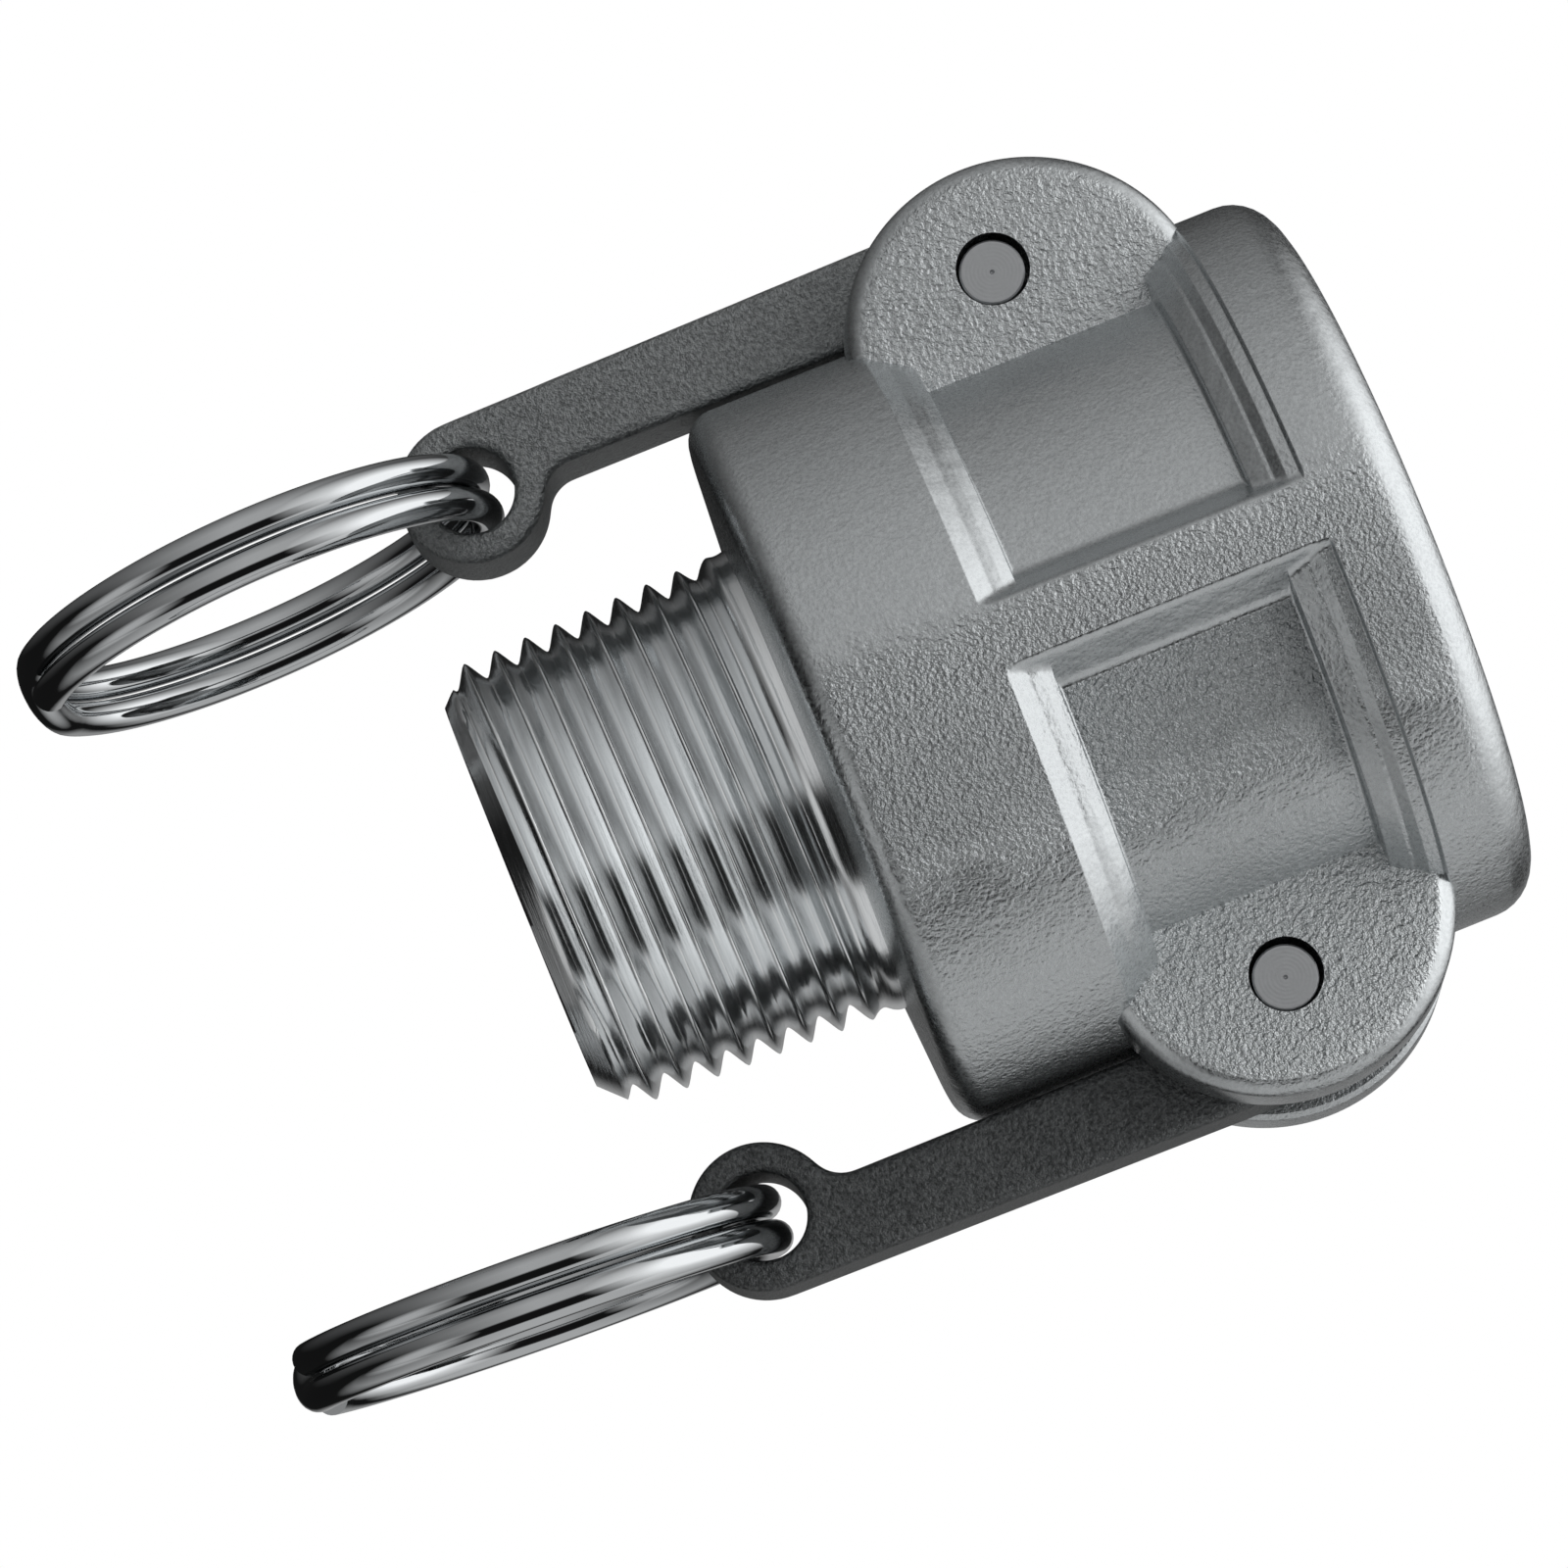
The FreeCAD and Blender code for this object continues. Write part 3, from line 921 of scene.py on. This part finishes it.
def field_mesh(name, field, low, step, material):
    """The surface where the field is zero, as an object in metres."""
    grid = openvdb.FloatGrid(background=3.0)
    grid.copyFromArray(np.ascontiguousarray(field, dtype=np.float32))
    points, triangles, quads = grid.convertToPolygons(isovalue=0.0)
    faces = [list(map(int, f)) for f in triangles] + [list(map(int, f)) for f in quads]
    points = (np.array(points) * step + np.array(low)) * MM
    return mesh_object(name, points.tolist(), faces, material)


# %% [markdown]
# Each lever is one flat casting: a cam head that reaches into the socket, a handle that tapers a
# little, and an eye for the ring. Its outline is drawn once for the right side, in the plane
# across the pins. The left lever is its mirror image.

# %% Levers
hub_r = 4.3
eye_r = 4.1
eye_fillet = 2.0
eye_hole_r = 2.4
eye_flare = 0.5
lever_step = 0.16
lever_blur = 0.17
lever_outline = [
    *arc_points((lever_outer_x - hub_r, pin_z), hub_r, 0, 90),
    *arc_points((cam_inner_x + hub_r, pin_z), hub_r, 90, 270, 32),
    (handle_inner_x, pin_z - hub_r),
]
fillet_x = handle_inner_x - eye_fillet
fillet_rise = math.sqrt((eye_r + eye_fillet) ** 2 - (fillet_x - eye_x) ** 2)
fillet_deg = math.degrees(math.atan2(fillet_rise, fillet_x - eye_x))
lever_outline += arc_points((fillet_x, eye_z + fillet_rise), eye_fillet, 0, fillet_deg - 180)
lever_outline += arc_points((eye_x, eye_z), eye_r, fillet_deg, 360, 32)
lever_outline += [(lever_outer_x, pin_z - hub_r)]

lever_margin = Vector((1, 1, 1))
field_low = lever_low - lever_margin
x, y, z = field_axes(field_low, lever_high + lever_margin, lever_step)
flat_field = outline_distance(lever_outline, x[:, :, 0], z[0])
lever_field = np.maximum(flat_field[:, None, :], np.abs(y) - lever_half)
edge_break = (flat_field[:, None, :] + np.abs(y) - lever_half + 0.3) / math.sqrt(2)
lever_field = np.maximum(lever_field, edge_break)
right_lever = field_mesh(
    "right_lever", blurred(lever_field, lever_blur / lever_step), field_low, lever_step, dark_lever_steel
)


def eye_cutter():
    """A cutter for the eye's hole, flared where it comes out of the lever."""
    reach = lever_half + 1
    outline = [(0, -reach), (eye_hole_r + eye_flare + 1, -reach)]
    outline += arc_points((eye_hole_r + eye_flare, -lever_half + eye_flare), eye_flare, 270, 180, 6)
    outline += [(r, -h) for r, h in reversed(outline)]
    return laid_along_y(turned("eye_cutter", outline, dark_lever_steel, 96), eye_x, eye_z)


cut(right_lever, eye_cutter())
smooth(right_lever, 42)
report(right_lever)

left_lever = copy_of(right_lever, "left_lever")
move(left_lever, Matrix.Diagonal((-1, 1, 1, 1)))
left_lever.data.materials[0] = lever_steel

# %% [markdown]
# The pins are plain turned rods with a small mark in the middle of each end, where the lathe's
# centre held them. The gasket is a flat ring with soft edges.

# %% Pins and gasket


def turned_pin(name, side):
    """One pin, along Y."""
    chamfer = 0.1
    mark_r = 0.13
    mark_depth = 0.25
    end = [(0, ear_half - mark_depth), (mark_r, ear_half)]
    end += [(pin_r - chamfer, ear_half), (pin_r, ear_half - chamfer)]
    outline = [(r, -h) for r, h in end] + [(r, h) for r, h in reversed(end)]
    pin = laid_along_y(turned(name, outline, pin_steel, 64), side * pin_x, pin_z)
    smooth(pin, 30)
    return pin


right_pin = turned_pin("right_pin", 1)
left_pin = turned_pin("left_pin", -1)

gasket_r = gasket_high.x
gasket_hole_r = 11.1
gasket_edge = 0.5
low, high = gasket_low.z, gasket_high.z
seal = turned("seal", [
    *arc_points((gasket_r - gasket_edge, low + gasket_edge), gasket_edge, -90, 0, 5),
    *arc_points((gasket_r - gasket_edge, high - gasket_edge), gasket_edge, 0, 90, 5),
    *arc_points((gasket_hole_r + gasket_edge, high - gasket_edge), gasket_edge, 90, 180, 5),
    *arc_points((gasket_hole_r + gasket_edge, low + gasket_edge), gasket_edge, 180, 270, 5),
], seal_rubber, 128)
smooth(seal, 30)
for piece in (right_pin, left_pin, seal):
    report(piece)

# %% [markdown]
# A pull ring is a split ring: one wire wound for nearly two turns, side by side, with a step from
# one turn to the next. The wire follows a rule as well, so it is grown by Geometry Nodes: a line of
# points is bent along the ring's formula and given a round section. The ring is made hanging from
# the origin, then leaned, twisted and moved to its lever's eye.

# %% The ring's tree
ring_od = 28.5
ring_wire_d = 1.9
ring_inputs = {
    "Mean radius": (ring_od - ring_wire_d) / 2,
    "Wire radius": ring_wire_d / 2,
    "Pitch": ring_wire_d + 0.12,
    "Step": 34 / 360,
    "Points": 240,
    "Wire sides": 24,
}
tree, given = geometry_tree("split_ring", ring_inputs)
line = add(tree, "GeometryNodeMeshLine", {"Count": given["Points"]})
index = add(tree, "GeometryNodeInputIndex", {}).outputs[0]
length = calc(tree, "SUBTRACT", 2.0, given["Step"])
share = calc(tree, "DIVIDE", index, calc(tree, "SUBTRACT", given["Points"], 1.0))
turn_number = calc(tree, "MULTIPLY", length, share)
step_start = calc(tree, "SUBTRACT", 1.0, given["Step"])
stepping = between(tree, turn_number, step_start, 1.0, -0.5, 0.5, "SMOOTHSTEP")
along_x = calc(tree, "MULTIPLY", stepping, given["Pitch"])
angle = calc(tree, "ADD", turn_number, calc(tree, "ADD", calc(tree, "DIVIDE", given["Step"], 2.0), 0.5))
angle = calc(tree, "MULTIPLY", angle, 2 * math.pi)
along_y = calc(tree, "MULTIPLY", given["Mean radius"], calc(tree, "SINE", angle))
below_top = calc(tree, "SUBTRACT", calc(tree, "COSINE", angle), 1.0)
along_z = calc(tree, "MULTIPLY", given["Mean radius"], below_top)
wound = add(tree, "GeometryNodeSetPosition", {
    "Geometry": line.outputs[0], "Position": combined(tree, along_x, along_y, along_z),
})
path = add(tree, "GeometryNodeMeshToCurve", {"Mesh": wound.outputs[0]})
section = add(tree, "GeometryNodeCurvePrimitiveCircle", {
    "Resolution": given["Wire sides"], "Radius": given["Wire radius"],
})
wire = add(tree, "GeometryNodeCurveToMesh", {
    "Curve": path.outputs[0], "Profile Curve": section.outputs[0], "Fill Caps": True,
})
finish_tree(tree, wire.outputs[0], ring_wire)

# %% Both rings
ring_rise = 0.3
ring_lean = math.radians(2.5)
right_ring_twist = math.radians(3.6)


def split_ring(name, side, twist):
    """One ring at its lever's eye."""
    ring = grown(name, tree, ring_wire)
    place_at = Matrix.Translation((eye_x, 0, eye_z)) @ Matrix.Rotation(twist, 4, "Z")
    place_at = place_at @ Matrix.Rotation(ring_lean, 4, "Y") @ Matrix.Translation((0, 0, ring_rise))
    move(ring, place_at)
    move(ring, Matrix.Diagonal((side, 1, 1, 1)))
    move(ring, Matrix.Scale(MM, 4))
    smooth(ring, 40)
    report(ring)
    return ring


right_ring = split_ring("right_ring", 1, right_ring_twist)
left_ring = split_ring("left_ring", -1, 0)

# %% [markdown]
# Each piece now rides on the body that it belongs to and stands for the plain one. The table also
# lists the finish that each stands for.

# %% Put the pieces on their bodies
dressed = [
    (casting, "coupler", "coupler_body", "cast_steel"),
    (thread, "coupler", "coupler_body", "cast_steel"),
    (seal, "coupler", "gasket", "seal_rubber"),
    (left_lever, "left_lever", "cam_lever_left", "lever_steel"),
    (right_lever, "right_lever", "cam_lever_right", "lever_steel"),
    (left_pin, "left_lever", "pivot_pin_left", "pin_steel"),
    (right_pin, "right_lever", "pivot_pin_right", "pin_steel"),
    (left_ring, "left_ring", "pull_ring_left", "ring_wire"),
    (right_ring, "right_ring", "pull_ring_right", "ring_wire"),
]
for piece, body, node, slot in dressed:
    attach(piece, body)
    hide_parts(node)
print(len(dressed), "pieces placed")

# %% [markdown]
# The stage: a white room and a pale floor well under the hanging rings.

# %% World
world = bpy.data.worlds.new("white_room")
bpy.context.scene.world = world
world.use_nodes = True
tree = world.node_tree
background = tree.nodes["Background"]


def seen_directly(tree):
    """One for a camera, mirrored or refracted ray, and nought for any other."""
    light_path = tree.nodes.new("ShaderNodeLightPath").outputs
    seen = calc(tree, "MAXIMUM", light_path["Is Camera Ray"], light_path["Is Glossy Ray"])
    return calc(tree, "MAXIMUM", seen, light_path["Is Transmission Ray"])


background.inputs["Color"].default_value = (1, 1, 1, 1)
tree.links.new(calc(tree, "MAXIMUM", seen_directly(tree), 0.5), background.inputs["Strength"])


def staged(name, points, faces, material):
    """A plain surface that isn't part of the object, given in millimetres."""
    mesh = bpy.data.meshes.new(name)
    mesh.from_pydata([(px * MM, py * MM, pz * MM) for px, py, pz in points], [], faces)
    mesh.materials.append(material)
    obj = linked(name, mesh)
    return obj


# %% Floor
floor_z_mm = -75
floor_half = 290
floor_paint = bpy.data.materials.new("floor_paint")
floor_paint.use_nodes = True
tree = floor_paint.node_tree
tree.nodes.clear()
matt = add(tree, "ShaderNodeBsdfDiffuse", {"Color": (0.85, 0.85, 0.85, 1)})
glow = add(tree, "ShaderNodeEmission", {"Color": (1, 1, 1, 1)})
place = tree.nodes.new("ShaderNodeTexCoord").outputs["Object"]
out = add(tree, "ShaderNodeVectorMath", {0: place}, {"operation": "LENGTH"}).outputs["Value"]
whiter = between(tree, out, 0.1, floor_half * MM, 0.6, 1.0)
seen = calc(tree, "MULTIPLY", seen_directly(tree), whiter)
mixer = add(tree, "ShaderNodeMixShader", {"Fac": seen, 1: matt.outputs[0], 2: glow.outputs[0]})
add(tree, "ShaderNodeOutputMaterial", {"Surface": mixer.outputs[0]})
h = floor_half
corners = [(-h, -h, floor_z_mm), (h, -h, floor_z_mm), (h, h, floor_z_mm), (-h, h, floor_z_mm)]
floor = staged("floor", corners, [(0, 1, 2, 3)], floor_paint)
floor.visible_glossy = False
print("floor at", floor_z_mm, "mm")

# %% [markdown]
# Bare metal shows whatever stands round it, so a round screen stands outside the room, which only
# mirrored rays see. Soft lights are painted on it where the photograph's were: a wide panel at the
# left and in front, one at the right, a bright round one over the mouth, a faint one low in front
# and one behind, and dark between them. Lamps could be hung there instead, but a painted screen
# gives them soft edges. A wide lamp over the mouth lights only what isn't bare metal.

# %% Screen
screen_radius = 620
screen_centre_z = 15
screen_paint = bpy.data.materials.new("screen_paint")
screen_paint.use_nodes = True
tree = screen_paint.node_tree
tree.nodes.clear()
place = tree.nodes.new("ShaderNodeTexCoord").outputs["Object"]
spot = split(tree, place)
back = calc(tree, "MULTIPLY", spot["Y"], -1.0)
azimuth = calc(tree, "DEGREES", calc(tree, "ARCTAN2", spot["X"], back))
up = calc(tree, "SUBTRACT", spot["Z"], screen_centre_z * MM)
elevation = calc(tree, "DEGREES", calc(tree, "ARCSINE", calc(tree, "DIVIDE", up, screen_radius * MM)))


def banded(value, dark_before, full_from, full_to, dark_after):
    """One inside a band of a value, with an even slope down to nought on each side."""
    rising = between(tree, value, dark_before, full_from, 0.0, 1.0)
    return calc(tree, "MULTIPLY", rising, between(tree, value, full_to, dark_after, 1.0, 0.0))


def panel(across, upward, brightness):
    """A soft panel between angles in degrees: where it starts, is full, is full to, and ends.
    Azimuth counts from the front, -Y, towards +X."""
    shape = calc(tree, "MULTIPLY", banded(azimuth, *across), banded(elevation, *upward))
    return calc(tree, "MULTIPLY", shape, brightness)


def spotlight(azimuth_deg, elevation_deg, full_within, dark_beyond, brightness):
    """A soft round panel about one direction."""
    a, e = math.radians(azimuth_deg), math.radians(elevation_deg)
    towards = (math.sin(a) * math.cos(e), -math.cos(a) * math.cos(e), math.sin(e))
    node = add(tree, "ShaderNodeVectorMath", {0: place, 1: towards}, {"operation": "DOT_PRODUCT"})
    cosine = calc(tree, "DIVIDE", node.outputs["Value"], screen_radius * MM)
    off = calc(tree, "DEGREES", calc(tree, "ARCCOSINE", calc(tree, "MINIMUM", cosine, 1.0)))
    return calc(tree, "MULTIPLY", between(tree, off, full_within, dark_beyond, 1.0, 0.0), brightness)


panels = [
    panel((-155, -42, 8, 17), (-70, -2, 20, 45), 0.56),
    panel((60, 66, 125, 145), (-90, -10, 20, 45), 0.62),
    spotlight(30, 82, 24, 64, 1.55),
    spotlight(32, -58, 14, 32, 0.6),
    spotlight(172, 0, 10, 24, 0.35),
]
total = calc(tree, "ADD", panels[0], 0.01)
for one in panels[1:]:
    total = calc(tree, "ADD", total, one)
glow = add(tree, "ShaderNodeEmission", {"Color": (1, 1, 1, 1), "Strength": total})
add(tree, "ShaderNodeOutputMaterial", {"Surface": glow.outputs[0]})

points = []
faces = []
around = 72
levels = 36
for i in range(levels + 1):
    e = math.radians(-90 + 180 * i / levels)
    for j in range(around):
        a = 2 * math.pi * j / around
        points.append((screen_radius * math.cos(a) * math.cos(e), screen_radius * math.sin(a) * math.cos(e),
                       screen_centre_z + screen_radius * math.sin(e)))
for i in range(levels):
    for j in range(around):
        k, following = i * around + j, i * around + (j + 1) % around
        faces.append((k, following, following + around, k + around))
screen = staged("screen", points, faces, screen_paint)
screen.visible_camera = False
screen.visible_diffuse = False
screen.visible_transmission = False
screen.visible_shadow = False
print("screen with", len(panels), "soft panels")

# %% Lamp
lamp_size = 400
lamp_height = 320
lamp_radiance = 1.5
data = bpy.data.lights.new("overhead", "AREA")
data.size = lamp_size * MM
data.energy = lamp_radiance * 4 * (lamp_size * MM) ** 2
overhead = linked("overhead", data)
overhead.matrix_world = Matrix.Translation((0, 0, lamp_height * MM))
overhead.visible_glossy = False
bpy.context.scene.view_settings.view_transform = "Standard"
